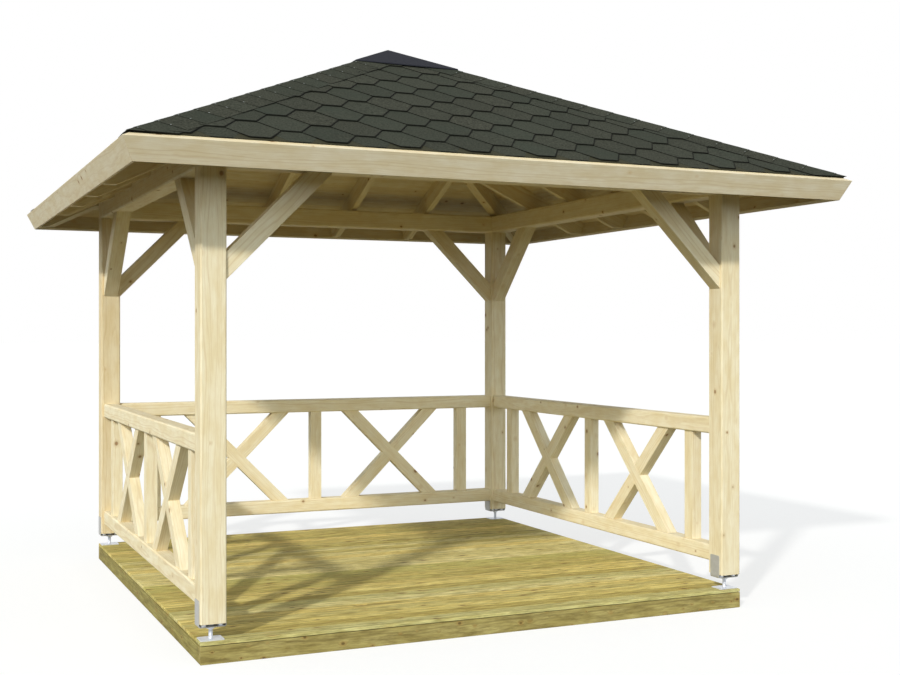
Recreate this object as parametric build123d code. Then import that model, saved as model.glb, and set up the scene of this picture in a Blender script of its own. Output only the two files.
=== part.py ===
from build123d import *
from math import cos, radians, sin, sqrt, tan
import os

# Open garden gazebo with a square plan, all sizes in millimetres.
# Origin: on the ground at the centre of the deck. +Z up, the open entrance faces -Y.

# ---- Driving dimensions ----
deck_side = 2930.0            # outer side of the square deck
deck_board_thickness = 19.0
deck_rim_height = 81.0
deck_rim_thickness = 40.0
joist_count = 6               # between the two side rims
joist_width = 45.0

post_side = 119.0             # square glued posts
post_length = 2048.0
post_inset = 0.0              # from the deck's edge to the post's outer face
post_chamfer = 5.0
post_gap = 78.0               # from the deck up to the post's lower end

foot_plate_width = 110.0
foot_plate_depth = 86.0
foot_plate_thickness = 4.0
foot_rod_diameter = 20.0
foot_nut_width = 34.0         # across the flats
foot_nut_height = 12.0
foot_cradle_thickness = 4.0
foot_cradle_depth = 80.0
foot_cradle_drop = 14.0       # clear gap between the cradle's floor and the post
foot_cradle_grip = 104.0      # how far its cheeks reach up the post

beam_height = 119.0
beam_width = 119.0
beam_chamfer = 8.0

brace_side = 88.0             # square bracing timber
brace_reach = 508.0           # from the post along the beam, to the brace's far edge

rail_height = 88.0
rail_width = 88.0
rail_chamfer = 7.0
bottom_rail_clear = 139.0     # from the deck to the bottom rail's underside
railing_height = 920.0        # from the deck to the top rail's upper side
upright_width = 76.0          # along the railing
upright_depth = 60.0
upright_end_gap = 193.0       # clear gap between a post and the upright next to it
cross_width = 80.0            # width of each diagonal, square to its run
cross_depth = 60.0

roof_pitch = 25.0             # degrees
roof_overhang = 410.0         # level distance, beam's outer face to fascia's upper outer edge
birdsmouth_depth = 30.0       # depth of the rafter's notch at the beam's outer face
rafter_depth = 120.0
rafter_width = 42.0
rafter_count = 4              # in each slope, evenly spaced
rafter_end_gap = 555.0        # centre of an outer rafter from the centre of the post
tail_end_depth = 89.0         # square depth left at the rafter's tail, below the boarding
hip_width = 60.0
apex_block_side = 110.0
apex_block_length = 330.0
roof_board_thickness = 18.0
shingle_thickness = 6.0
hip_shingle_thickness = 8.4   # several folded layers over each hip
hip_shingle_reach = 210.0     # level distance along the slope, hip to the strip's edge
fascia_thickness = 28.0
fascia_depth = 111.0          # its top is flush with the roof boards

cap_half = 318.0              # half side of the metal cap's lower edge
cap_sheet = 2.0
cap_hem_thickness = 7.0       # folded edge that rests on the hip shingles
cap_hem_width = 22.0

# ---- Derived levels and places ----
deck_top = deck_rim_height + deck_board_thickness
post_bottom = deck_top + post_gap
post_top = post_bottom + post_length
beam_top = post_top + beam_height
deck_half = deck_side / 2
post_outer = deck_half - post_inset
post_centre = post_outer - post_side / 2
post_inner = post_outer - post_side
bay = 2 * post_inner          # clear width between two posts
upright_offset = post_inner - upright_end_gap - upright_width / 2
beam_outer = post_outer
beam_inner = beam_outer - beam_width
rafter_spacing = 2 * (post_centre - rafter_end_gap) / (rafter_count - 1)

tan_p = tan(radians(roof_pitch))
cos_p = cos(radians(roof_pitch))
sin_p = sin(radians(roof_pitch))
eave_half = beam_outer + roof_overhang
board_top = 0.0
shingle_top = board_top - shingle_thickness
hip_shingle_top = shingle_top - hip_shingle_thickness
cap_top = hip_shingle_top - cap_hem_thickness
rafter_top = board_top + roof_board_thickness
rafter_under = rafter_top + rafter_depth
# Level of the fascia's upper outer edge, found from the rafters' seat on the beams
eave_level = beam_top - birdsmouth_depth - roof_overhang * tan_p + rafter_under / cos_p
SIDES = {"front": -90, "right": 0, "back": 90, "left": 180}
CORNERS = {"front_left": (-1, -1), "front_right": (1, -1), "back_left": (-1, 1), "back_right": (1, 1)}


def save(name, *solids):
    """Write one sub-part as one STEP file."""
    shape = solids[0] if len(solids) == 1 else Compound(children=list(solids))
    shape.label = name
    export_step(shape, "parts/" + name + ".step")


def block(width, depth, height, x, y, z):
    """A plain block centred on x and y, standing on z."""
    return Pos(x, y, z + height / 2) * Box(width, depth, height)


def timber(length, width, height, chamfer_size):
    """A timber along X, centred, with its four long edges chamfered."""
    outline = chamfer(Rectangle(width, height).vertices(), chamfer_size)
    return extrude(Plane.YZ * outline, length / 2, both=True)


def plan_turn(side, shape):
    """Turn a shape drawn for the +X side to the side asked for."""
    return Rot(0, 0, SIDES[side]) * shape


# ---- Roof geometry ----
# Each slope is drawn in the XZ plane for the +X side. A point is given by s, its distance
# up the slope from the fascia's outer face, and n, its depth square below the fascia's top.
def slope_point(s, n):
    x = eave_half - s * cos_p - n * sin_p
    z = eave_level + s * sin_p - n * cos_p
    return (x, z)


def slope_plane_level(n, x):
    """Height of the plane that lies n below the fascia's top, at the distance x."""
    return eave_level + (eave_half - x) * tan_p - n / cos_p


def profile_along_y(points, width):
    """Extrude an XZ outline to both sides along Y."""
    outline = make_face(Polyline([(x, 0, z) for x, z in points], close=True))
    return extrude(outline, width / 2, dir=(0, 1, 0), both=True)


def quarter(inset=0.0):
    """The tall wedge of space over the +X quarter of the plan, between the two diagonals."""
    reach = 2 * eave_half
    wedge = make_face(Polyline([(inset, 0), (reach + inset, reach), (reach + inset, -reach)], close=True))
    return extrude(wedge, reach)


def slope_slab(n_top, n_bottom, s_start):
    """A mitred slab that covers the +X slope between two depths."""
    ridge_top = (0, slope_plane_level(n_top, 0))
    ridge_bottom = (0, slope_plane_level(n_bottom, 0))
    outline = [slope_point(s_start, n_top), ridge_top, ridge_bottom, slope_point(s_start, n_bottom)]
    return profile_along_y(outline, 2 * eave_half) & quarter()


def square_pyramid(points):
    """The solid whose section is the given half outline on every side of the square plan."""
    mirrored = [(-x, z) for x, z in reversed(points) if x > 0]
    prism = profile_along_y(points + mirrored, 4 * eave_half)
    return prism & (Rot(0, 0, 90) * prism)


# ---- Deck ----
def make_deck():
    side_length = deck_side - 2 * deck_rim_thickness
    rim_centre = deck_half - deck_rim_thickness / 2
    rims = []
    for sign in (-1, 1):
        rims.append(block(deck_side, deck_rim_thickness, deck_rim_height, 0, sign * rim_centre, 0))
    side_rims = []
    for sign in (-1, 1):
        side_rims.append(block(deck_rim_thickness, side_length, deck_rim_height, sign * rim_centre, 0, 0))
    save("deck_long_rims", *rims)
    pitch = 2 * rim_centre / (joist_count + 1)
    joists = []
    for index in range(joist_count):
        x = (index - (joist_count - 1) / 2) * pitch
        joists.append(block(joist_width, side_length, deck_rim_height, x, 0, 0))
    save("deck_joists", *(side_rims + joists))
    save("deck_boards", block(deck_side, deck_side, deck_board_thickness, 0, 0, deck_rim_height))


# ---- Posts and their feet ----
def make_post(name, sign_x, sign_y):
    post = Rot(0, 90, 0) * timber(post_length, post_side, post_side, post_chamfer)
    middle = post_bottom + post_length / 2
    save("post_" + name, Pos(sign_x * post_centre, sign_y * post_centre, middle) * post)


def make_foot(sign_x, sign_y):
    cradle_floor = post_bottom - foot_cradle_drop
    cradle_under = cradle_floor - foot_cradle_thickness
    cradle_width = post_side + 2 * foot_cradle_thickness
    cheek_height = foot_cradle_drop + foot_cradle_grip
    cheek_x = (post_side + foot_cradle_thickness) / 2
    foot = block(foot_plate_width, foot_plate_depth, foot_plate_thickness, 0, 0, deck_top)
    rod_height = cradle_under - deck_top
    foot += Pos(0, 0, deck_top + rod_height / 2) * Cylinder(foot_rod_diameter / 2, rod_height)
    nut = extrude(RegularPolygon(foot_nut_width / 2, 6, major_radius=False), foot_nut_height)
    foot += Pos(0, 0, cradle_under - foot_nut_height) * nut
    foot += block(cradle_width, foot_cradle_depth, foot_cradle_thickness, 0, 0, cradle_under)
    for side in (-1, 1):
        cheek = block(foot_cradle_thickness, foot_cradle_depth, cheek_height, side * cheek_x, 0, cradle_floor)
        foot += cheek
    return Pos(sign_x * post_centre, sign_y * post_centre, 0) * foot


# ---- Beams and braces ----
def make_beams():
    middle = post_top + beam_height / 2
    centre = beam_outer - beam_width / 2
    long_beam = timber(2 * beam_outer, beam_width, beam_height, beam_chamfer)
    save("beam_front", Pos(0, -centre, middle) * long_beam)
    save("beam_back", Pos(0, centre, middle) * long_beam)
    short_beam = Rot(0, 0, 90) * timber(2 * beam_inner, beam_width, beam_height, beam_chamfer)
    save("beam_left", Pos(-centre, 0, middle) * short_beam)
    save("beam_right", Pos(centre, 0, middle) * short_beam)


def make_braces(side):
    """Two 45 degree braces below one beam, drawn below the +X beam."""
    cut = brace_side * sqrt(2)
    braces = []
    for sign in (-1, 1):
        foot_y = sign * post_inner
        outline = Polyline([
            (0, foot_y, post_top - brace_reach),
            (0, foot_y - sign * brace_reach, post_top),
            (0, foot_y - sign * (brace_reach - cut), post_top),
            (0, foot_y, post_top - brace_reach + cut),
        ], close=True)
        brace = extrude(make_face(outline), brace_side / 2, dir=(1, 0, 0), both=True)
        braces.append(plan_turn(side, Pos(post_centre, 0, 0) * brace))
    save("braces_" + side, *braces)


# ---- Railings ----
def make_railing(side):
    """Rails, uprights and crosses of one railing, drawn along Y on the +X side."""
    bottom_rail_top = deck_top + bottom_rail_clear + rail_height
    top_rail_under = deck_top + railing_height - rail_height
    infill = top_rail_under - bottom_rail_top
    place = Pos(post_centre, 0, 0)

    rail = Rot(0, 0, 90) * timber(bay, rail_width, rail_height, rail_chamfer)
    bottom_rail = place * Pos(0, 0, bottom_rail_top - rail_height / 2) * rail
    top_rail = place * Pos(0, 0, top_rail_under + rail_height / 2) * rail
    if side in ("front", "back"):
        # The ends of the bottom rail are let in round the cheeks of the post feet
        cheek_top = post_bottom + foot_cradle_grip
        for sign in (-1, 1):
            y = sign * (post_inner - foot_cradle_thickness / 2)
            notch = block(foot_cradle_depth, foot_cradle_thickness, cheek_top, post_centre, y, 0)
            bottom_rail -= notch
    save(side + "_rails", plan_turn(side, bottom_rail), plan_turn(side, top_rail))

    uprights = []
    for y in (-upright_offset, 0, upright_offset):
        upright = block(upright_depth, upright_width, infill, post_centre, y, bottom_rail_top)
        uprights.append(plan_turn(side, upright))
    save(side + "_uprights", *uprights)

    middle = bottom_rail_top + infill / 2
    cut = cross_width * sqrt(2)
    whole = []
    halves = []
    for sign in (-1, 1):
        centre = Pos(post_centre, sign * upright_offset / 2, middle)
        diagonal = cross_bar(infill, cut, 1)
        other = cross_bar(infill, cut, -1)
        whole.append(plan_turn(side, centre * diagonal))
        for half in (other - diagonal).solids():
            halves.append(plan_turn(side, centre * half))
    save(side + "_diagonals", *whole)
    save(side + "_half_diagonals", *halves)


def cross_bar(infill, cut, lean):
    """One diagonal at 45 degrees between the rails, its ends cut level."""
    half_run = infill / 2 * lean
    outline = Polyline([
        (0, -half_run - cut / 2, -infill / 2),
        (0, -half_run + cut / 2, -infill / 2),
        (0, half_run + cut / 2, infill / 2),
        (0, half_run - cut / 2, infill / 2),
    ], close=True)
    return extrude(make_face(outline), cross_depth / 2, dir=(1, 0, 0), both=True)


# ---- Roof frame ----
def beam_ring():
    """The block of space that the ring of beams takes, for notching what rests on it."""
    return block(2 * beam_outer, 2 * beam_outer, beam_top, 0, 0, 0)


def make_rafters(side):
    """The rafters of one slope, cut at the hips, drawn for the +X slope."""
    tail_foot = slope_point(fascia_thickness, rafter_top + tail_end_depth)
    level_cut = (tail_foot[1] - eave_level + rafter_under * cos_p) / sin_p
    outline = [
        slope_point(fascia_thickness, rafter_top),
        (0, slope_plane_level(rafter_top, 0)),
        (0, slope_plane_level(rafter_under, 0)),
        slope_point(level_cut, rafter_under),
        tail_foot,
    ]
    rafter = profile_along_y(outline, rafter_width) - beam_ring()
    hips = quarter(hip_width / sqrt(2))
    rafters = []
    for index in range(rafter_count):
        y = (index - (rafter_count - 1) / 2) * rafter_spacing
        rafters.append(plan_turn(side, (Pos(0, y, 0) * rafter) & hips))
    save("rafters_" + side, *rafters)


def make_hips():
    """Four hip rafters that meet the apex block, and the block itself."""
    side_foot = slope_point(fascia_thickness, rafter_top + tail_end_depth)
    side_head = slope_point(fascia_thickness, rafter_top)
    peak = slope_plane_level(rafter_top, 0)
    envelope = square_pyramid([(0, side_foot[1]), side_foot, side_head, (0, peak)])
    lower = slope_plane_level(rafter_under, 0)
    reach = 2 * eave_half
    fall = reach / sqrt(2) * tan_p
    rise = rafter_under / cos_p
    outline = [(0, lower), (reach, lower - fall), (reach, lower - fall + rise), (0, lower + rise)]
    strip = profile_along_y(outline, hip_width)
    notch = block(2 * sqrt(2) * beam_outer, 4 * hip_width, beam_top, 0, 0, 0)
    core = block(apex_block_side, apex_block_side, 2 * beam_top, 0, 0, 0)
    hips = []
    for turn in (45, 135, 225, 315):
        hip = (Rot(0, 0, turn) * (strip - notch)) & envelope
        hips.append(hip - core)
    save("hip_rafters", *hips)
    stem = block(apex_block_side, apex_block_side, apex_block_length, 0, 0, peak - apex_block_length)
    save("apex_block", stem & envelope)


def make_covering(side):
    boards = slope_slab(board_top, rafter_top, fascia_thickness)
    save("roof_boards_" + side, plan_turn(side, boards))
    fascia_outline = [
        slope_point(0, 0),
        slope_point(fascia_thickness, 0),
        slope_point(fascia_thickness, fascia_depth),
        slope_point(0, fascia_depth),
    ]
    fascia = profile_along_y(fascia_outline, 2 * eave_half) & quarter()
    save("fascia_" + side, plan_turn(side, fascia))


def roof_shell(n_top, n_bottom):
    """A thin pyramid shell between two depths, ending at the fascia's inner face."""
    low = slope_point(fascia_thickness, n_bottom)
    high = slope_point(fascia_thickness, n_top)
    outer = square_pyramid([(0, low[1]), low, high, (0, slope_plane_level(n_top, 0))])
    inner = square_pyramid([(0, low[1]), low, (0, slope_plane_level(n_bottom, 0))])
    return outer - inner


def make_shingles():
    save("roof_shingles", roof_shell(shingle_top, board_top))
    strip = block(4 * eave_half, sqrt(2) * hip_shingle_reach, 4 * eave_half, 0, 0, 0)
    over_hips = Rot(0, 0, 45) * strip + Rot(0, 0, -45) * strip
    save("hip_shingles", roof_shell(hip_shingle_top, shingle_top) & over_hips)


def make_cap():
    """The folded sheet cap over the apex, its hemmed edge resting on the hip shingles."""
    hem_inner = cap_half - cap_hem_width
    under = cap_top + cap_sheet
    edge_level = slope_plane_level(hip_shingle_top, cap_half)
    outer = square_pyramid([
        (0, edge_level),
        (cap_half, edge_level),
        (cap_half, slope_plane_level(cap_top, cap_half)),
        (0, slope_plane_level(cap_top, 0)),
    ])
    below_hem = square_pyramid([
        (0, edge_level),
        (cap_half, edge_level),
        (hem_inner, slope_plane_level(hip_shingle_top, hem_inner)),
        (hem_inner, slope_plane_level(under, hem_inner)),
        (0, slope_plane_level(under, 0)),
    ])
    save("roof_cap", outer - below_hem)


os.makedirs("parts", exist_ok=True)
make_deck()
for corner, (sign_x, sign_y) in CORNERS.items():
    make_post(corner, sign_x, sign_y)
save("post_feet", *[make_foot(sign_x, sign_y) for sign_x, sign_y in CORNERS.values()])
make_beams()
for side_name in ("back", "left", "right"):
    make_railing(side_name)
for side_name in SIDES:
    make_braces(side_name)
    make_rafters(side_name)
    make_covering(side_name)
make_hips()
make_shingles()
make_cap()
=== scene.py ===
# %% [markdown]
# # An open garden gazebo, from its CAD frame to a finished look
#
# The CAD model already holds every timber at its true size and place. This lesson gives each
# piece the surface, the small rounded edges and the loose parts that the eye expects: boards
# in place of plain slabs, separate shingles in place of one shell, bent steel feet.
# Everything is in metres, +Z is up, and the open entrance faces -Y.

# %% Load the frame
import math
import random

import bmesh
import bpy
import numpy as np
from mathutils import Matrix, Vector


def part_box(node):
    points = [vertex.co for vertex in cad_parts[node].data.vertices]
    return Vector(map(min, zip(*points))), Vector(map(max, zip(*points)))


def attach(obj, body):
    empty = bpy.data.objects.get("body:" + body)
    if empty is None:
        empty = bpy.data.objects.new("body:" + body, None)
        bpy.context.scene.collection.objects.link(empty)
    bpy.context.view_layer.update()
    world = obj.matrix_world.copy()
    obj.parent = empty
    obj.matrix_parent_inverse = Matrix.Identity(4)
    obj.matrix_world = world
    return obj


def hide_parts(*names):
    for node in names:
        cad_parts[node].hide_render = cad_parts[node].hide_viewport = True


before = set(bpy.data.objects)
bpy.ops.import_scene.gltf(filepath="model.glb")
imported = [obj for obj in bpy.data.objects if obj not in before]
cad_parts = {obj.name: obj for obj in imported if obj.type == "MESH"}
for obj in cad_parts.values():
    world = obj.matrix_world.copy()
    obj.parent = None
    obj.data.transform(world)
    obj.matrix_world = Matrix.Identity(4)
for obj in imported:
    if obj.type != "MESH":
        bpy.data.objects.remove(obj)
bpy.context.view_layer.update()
MM = 0.001
chance = random.Random(7)

# %% [markdown]
# ## Small tools
#
# One helper turns a colour written as sRGB hex into the linear values that the renderer works
# with. One adds a shader node together with its settings and links, so that a material reads
# as a list of steps.

# %% Colour and node helpers
def linear(hex_colour):
    """sRGB hex, such as "E7D9B5", to a linear RGBA tuple."""
    channels = [int(hex_colour[i:i + 2], 16) / 255 for i in (0, 2, 4)]
    return tuple(c / 12.92 if c <= 0.04045 else ((c + 0.055) / 1.055) ** 2.4 for c in channels) + (1.0,)


def add(tree, kind, inputs=None, **settings):
    """Adds one node. Each input is a plain value, or the output of another node."""
    node = tree.nodes.new(kind)
    for name, value in settings.items():
        setattr(node, name, value)
    for key, value in (inputs or {}).items():
        if isinstance(value, bpy.types.NodeSocket):
            tree.links.new(value, node.inputs[key])
        else:
            node.inputs[key].default_value = value
    return node


def new_material(name):
    """An empty material, its node tree and its output node."""
    material = bpy.data.materials.new(name)
    material.use_nodes = True
    tree = material.node_tree
    tree.nodes.clear()
    return material, tree, tree.nodes.new("ShaderNodeOutputMaterial")


print("mid grey in linear values:", round(linear("808080")[0], 3))

# %% [markdown]
# The next helpers make the pieces. A piece is a mesh that rides on the frame and stands in for
# its CAD nodes. The shapes here are simple enough to write as lists of vertices and faces, which
# gives the same mesh on every run. No real edge is perfectly sharp, and a small bevel gives each
# one the fine highlight by which the eye knows it.

# %% Piece helpers
def make_piece(name, vertices, faces, materials, nodes=(), points=None, face_materials=None):
    """A mesh piece that rides on the frame. points holds one list of vectors per attribute name."""
    mesh = bpy.data.meshes.new(name)
    mesh.from_pydata([tuple(v) for v in vertices], [], faces)
    for material in materials:
        mesh.materials.append(material)
    if face_materials is not None:
        mesh.polygons.foreach_set("material_index", face_materials)
    for attribute, vectors in (points or {}).items():
        layer = mesh.attributes.new(attribute, "FLOAT_VECTOR", "POINT")
        layer.data.foreach_set("vector", np.array(vectors, dtype=np.float32).ravel())
    mesh.update()
    piece = bpy.data.objects.new(name, mesh)
    bpy.context.scene.collection.objects.link(piece)
    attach(piece, "root")
    if nodes:
        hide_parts(*nodes)
    return piece


def join_shapes(shapes):
    """Several (vertices, faces) as one."""
    vertices, faces = [], []
    for points, polygons in shapes:
        faces += [[len(vertices) + i for i in polygon] for polygon in polygons]
        vertices += list(points)
    return vertices, faces


def prism(near, far):
    """A solid between two outlines that have as many points, as (vertices, faces)."""
    count = len(near)
    faces = [[i, (i + 1) % count, count + (i + 1) % count, count + i] for i in range(count)]
    faces += [list(range(count))[::-1], [count + i for i in range(count)]]
    return near + far, faces


SHARP = math.radians(25)   # edges that turn less than this stay as they are


def soften(piece, radius, segments=2):
    """Rounds the sharp edges of a piece, as planing or wear does."""
    bevel = piece.modifiers.new("softened edges", "BEVEL")
    bevel.width = radius
    bevel.segments = segments
    bevel.limit_method = "ANGLE"
    bevel.angle_limit = SHARP


print("edges sharper than", round(math.degrees(SHARP)), "degrees get softened")

# %% [markdown]
# ## Spruce: grain, growth rings and knots
#
# The frame is planed, untreated spruce. It gives the eye a pale cream tone, thin stripes and a
# few brown knots, each in a slightly darker halo. Planed wood is matt with a faint sheen along
# the fibres, so its roughness is high and its bump is low.
#
# A material that reads world coordinates would run one pattern through the whole building,
# across the joints. So each timber carries two attributes: "grain", its own coordinates with
# the first axis along the fibres, and "lot", three random numbers that say which tree it is from.
#
# Knots come first, because the grain bends round them. A knot is a branch that grew out from
# the pith. One branch in each cell of a random cell pattern spreads them unevenly, and the face
# of a timber cuts only some of the cells, which leaves the clear lengths between.

# %% Knots
KNOT_BULGE = 4 * MM      # how far the rings bend round a knot


def knot_pattern(tree, place, radius, spacing, length):
    """How far a point is from its knot, in knot radii, and how much the rings bend there, 0 to 1.
    A knot is cut length times as long as it is wide."""
    squeezed = add(tree, "ShaderNodeVectorMath", {0: place, 1: (1 / length, 1.0, 1.0)},
                   operation="MULTIPLY").outputs[0]
    cells = add(tree, "ShaderNodeTexVoronoi", {"Vector": squeezed, "Scale": 1 / spacing},
                voronoi_dimensions="3D")
    size = add(tree, "ShaderNodeSeparateColor", {0: cells.outputs["Color"]}).outputs[0]
    largest = radius / spacing
    cut = add(tree, "ShaderNodeMapRange", {0: size, 3: largest / 3, 4: largest}).outputs[0]
    ratio = add(tree, "ShaderNodeMath", {0: cells.outputs["Distance"], 1: cut},
                operation="DIVIDE").outputs[0]
    bend = add(tree, "ShaderNodeMapRange", {0: ratio, 1: 0.6, 2: 3.2, 3: 1.0, 4: 0.0},
               interpolation_type="SMOOTHERSTEP").outputs[0]
    return ratio, bend


print("rings bend", round(KNOT_BULGE / MM), "mm round a knot")

# %% [markdown]
# Growth rings are cylinders round the pith, so a sawn face shows them as long, slightly
# wandering stripes. A noise that reads only the distance from the pith makes years of uneven
# width. Single rings are finer than the eye sees from a few metres, so groups of wide and narrow
# years are drawn. Fibres, streaks and patches are noises squeezed across the grain, which leaves
# them long.

# %% Growth rings, fibres and patches
PITH_OFF = 130 * MM      # how far the pith may lie off the middle of a timber


def grain_pattern(tree, grain, lot, place, bend, rings_per_metre, wander_width):
    """Growth rings, fibres, long streaks and broad patches."""
    # Distance from the pith, with a slow wander and a bend round each knot
    spread, shift = (0.0, 2 * PITH_OFF, 2 * PITH_OFF), (0.0, -PITH_OFF, -PITH_OFF)
    off_pith = add(tree, "ShaderNodeVectorMath", {0: lot, 1: spread, 2: shift},
                   operation="MULTIPLY_ADD").outputs[0]
    across = add(tree, "ShaderNodeVectorMath", {0: grain, 1: (0.0, 1.0, 1.0), 2: off_pith},
                 operation="MULTIPLY_ADD").outputs[0]
    pith = add(tree, "ShaderNodeVectorMath", {0: across}, operation="LENGTH").outputs[1]
    long_place = add(tree, "ShaderNodeVectorMath", {0: place, 1: (1.0, 7.0, 7.0)},
                     operation="MULTIPLY").outputs[0]
    wander = add(tree, "ShaderNodeTexNoise",
                 {"Vector": long_place, "Scale": 1.7, "Detail": 2.0}).outputs[0]
    wandered = add(tree, "ShaderNodeMath", {0: wander, 1: wander_width, 2: pith},
                   operation="MULTIPLY_ADD").outputs[0]
    ring_place = add(tree, "ShaderNodeMath", {0: bend, 1: KNOT_BULGE, 2: wandered},
                     operation="MULTIPLY_ADD").outputs[0]
    rings = add(tree, "ShaderNodeTexNoise",
                {"W": ring_place, "Scale": rings_per_metre, "Detail": 2.5, "Roughness": 0.55},
                noise_dimensions="1D").outputs[0]

    fibre_place = add(tree, "ShaderNodeVectorMath", {0: place, 1: (1.0, 18.0, 18.0)},
                      operation="MULTIPLY").outputs[0]
    fibres = add(tree, "ShaderNodeTexNoise",
                 {"Vector": fibre_place, "Scale": 13.0, "Detail": 4.0, "Roughness": 0.6}).outputs[0]
    streaks = add(tree, "ShaderNodeTexNoise",
                  {"Vector": long_place, "Scale": 8.0, "Detail": 5.0, "Roughness": 0.7}).outputs[0]
    long_patch = add(tree, "ShaderNodeTexNoise",
                     {"Vector": long_place, "Scale": 3.4, "Detail": 2.0}).outputs[0]
    short_place = add(tree, "ShaderNodeVectorMath", {0: place, 1: (1.0, 2.5, 2.5)},
                      operation="MULTIPLY").outputs[0]
    short_patch = add(tree, "ShaderNodeTexNoise",
                      {"Vector": short_place, "Scale": 11.0, "Detail": 2.0}).outputs[0]
    patches = add(tree, "ShaderNodeMath", {0: short_patch, 1: long_patch}).outputs[0]
    return rings, fibres, streaks, patches


print("pith up to", round(PITH_OFF / MM), "mm off the middle of a timber")

# %% [markdown]
# The colours go on one after another: broad patches, rings, fibres and streaks, the tone of the
# whole timber over them all, then the knots with their halo on top. A ramp of tints gives each
# timber its tone, so that one material serves them all. The rings and fibres also make the bump.
# Open wood fibres scatter about half of the reflection that smooth wood would give.

# %% A planed softwood material
GRAIN_DEPTH = 0.4 * MM


def softwood(name, pale, mid, dark, knot, halo_tone, knot_radius, knot_spacing, knot_length, roughness,
             rings_per_metre, wander_width, contrast, streakiness, tone_ramp):
    """Planed softwood. The colours are sRGB hex. contrast is how far rings and fibres darken the
    wood, and streakiness how far the long streaks do. tone_ramp is a list of (place, hex) tints."""
    material, tree, out = new_material(name)
    grain = add(tree, "ShaderNodeAttribute", attribute_name="grain").outputs["Vector"]
    lot = add(tree, "ShaderNodeAttribute", attribute_name="lot").outputs["Vector"]
    lots = add(tree, "ShaderNodeSeparateXYZ", {0: lot})
    place = add(tree, "ShaderNodeVectorMath", {0: lot, 1: (7.3, 5.9, 8.7), 2: grain},
                operation="MULTIPLY_ADD").outputs[0]
    knot_ratio, bend = knot_pattern(tree, place, knot_radius, knot_spacing, knot_length)
    rings, fibres, streaks, patches = grain_pattern(tree, grain, lot, place, bend, rings_per_metre,
                                                    wander_width)

    patch_mix = add(tree, "ShaderNodeMapRange", {0: patches, 1: 0.78, 2: 1.22}).outputs[0]
    base = add(tree, "ShaderNodeMix", {0: patch_mix, 6: linear(pale), 7: linear(mid)},
               data_type="RGBA").outputs[2]
    ring_strength = add(tree, "ShaderNodeMapRange", {0: rings, 1: 0.46, 2: 0.72},
                        interpolation_type="SMOOTHSTEP").outputs[0]
    ring_mix = add(tree, "ShaderNodeMath", {0: ring_strength, 1: contrast},
                   operation="MULTIPLY").outputs[0]
    ringed = add(tree, "ShaderNodeMix", {0: ring_mix, 6: base, 7: linear(dark)},
                 data_type="RGBA").outputs[2]
    fibre_mix = add(tree, "ShaderNodeMapRange",
                    {0: fibres, 1: 0.48, 2: 0.74, 3: 0.0, 4: contrast * 0.8}).outputs[0]
    fibred = add(tree, "ShaderNodeMix", {0: fibre_mix, 6: ringed, 7: linear(dark)},
                 data_type="RGBA").outputs[2]
    streak_mix = add(tree, "ShaderNodeMapRange",
                     {0: streaks, 1: 0.42, 2: 0.66, 3: 0.0, 4: streakiness}).outputs[0]
    streaked = add(tree, "ShaderNodeMix", {0: streak_mix, 6: fibred, 7: linear(dark)},
                   data_type="RGBA").outputs[2]
    ramp = add(tree, "ShaderNodeValToRGB", {0: lots.outputs[0]})
    ramp.color_ramp.elements.remove(ramp.color_ramp.elements[1])
    ramp.color_ramp.elements[0].position = tone_ramp[0][0]
    ramp.color_ramp.elements[0].color = linear(tone_ramp[0][1])
    for position, tint in tone_ramp[1:]:
        ramp.color_ramp.elements.new(position).color = linear(tint)
    toned = add(tree, "ShaderNodeMix", {0: 1.0, 6: streaked, 7: ramp.outputs[0]}, data_type="RGBA",
                blend_type="MULTIPLY").outputs[2]
    halo = add(tree, "ShaderNodeMapRange", {0: knot_ratio, 1: 0.9, 2: 2.4, 3: 0.45, 4: 0.0},
               interpolation_type="SMOOTHSTEP").outputs[0]
    haloed = add(tree, "ShaderNodeMix", {0: halo, 6: toned, 7: linear(halo_tone)},
                 data_type="RGBA").outputs[2]
    heart = add(tree, "ShaderNodeMapRange", {0: knot_ratio, 1: 0.6, 2: 1.15, 3: 0.80, 4: 0.0},
                interpolation_type="SMOOTHSTEP").outputs[0]
    colour = add(tree, "ShaderNodeMix", {0: heart, 6: haloed, 7: linear(knot)},
                 data_type="RGBA").outputs[2]

    height = add(tree, "ShaderNodeMath", {0: rings, 1: 0.5, 2: fibres},
                 operation="MULTIPLY_ADD").outputs[0]
    bump = add(tree, "ShaderNodeBump",
               {"Strength": 0.25, "Distance": GRAIN_DEPTH, "Height": height}).outputs[0]
    surface = add(tree, "ShaderNodeBsdfPrincipled", {
        "Base Color": colour, "Roughness": roughness, "IOR": 1.53,
        "Specular IOR Level": 0.25, "Normal": bump})
    tree.links.new(surface.outputs[0], out.inputs[0])
    return material


spruce = softwood(
    "planed spruce", pale="F2E8CB", mid="E9DAB4", dark="CFB483", knot="8E6439", halo_tone="CFB383",
    knot_radius=12.5 * MM, knot_spacing=105 * MM, knot_length=1.25, roughness=0.74,
    rings_per_metre=140.0, wander_width=0.05, contrast=0.34, streakiness=0.06,
    tone_ramp=[(0.0, "FFFFFF"), (0.4, "F9F7F3"), (0.6, "F0EFF2"), (1.0, "F3EBDC")])
print("made", spruce.name)

# %% [markdown]
# ## From a CAD solid to a timber
#
# A CAD node arrives as triangles, and may hold several solids. The helper splits it into its
# solids, joins the triangles back into flat faces, and finds which way the fibres run: along
# the longest straight edge, as every sawn timber is longest along its grain. The faces stay
# exactly where the CAD has them; only their sharp edges are softened.

# %% Solids out of a CAD node
SAME_POINT = 0.01 * MM
SAME_PLANE = math.radians(0.5)
LONGER = 0.1 * MM        # edges within this of one another count as equally long


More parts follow.
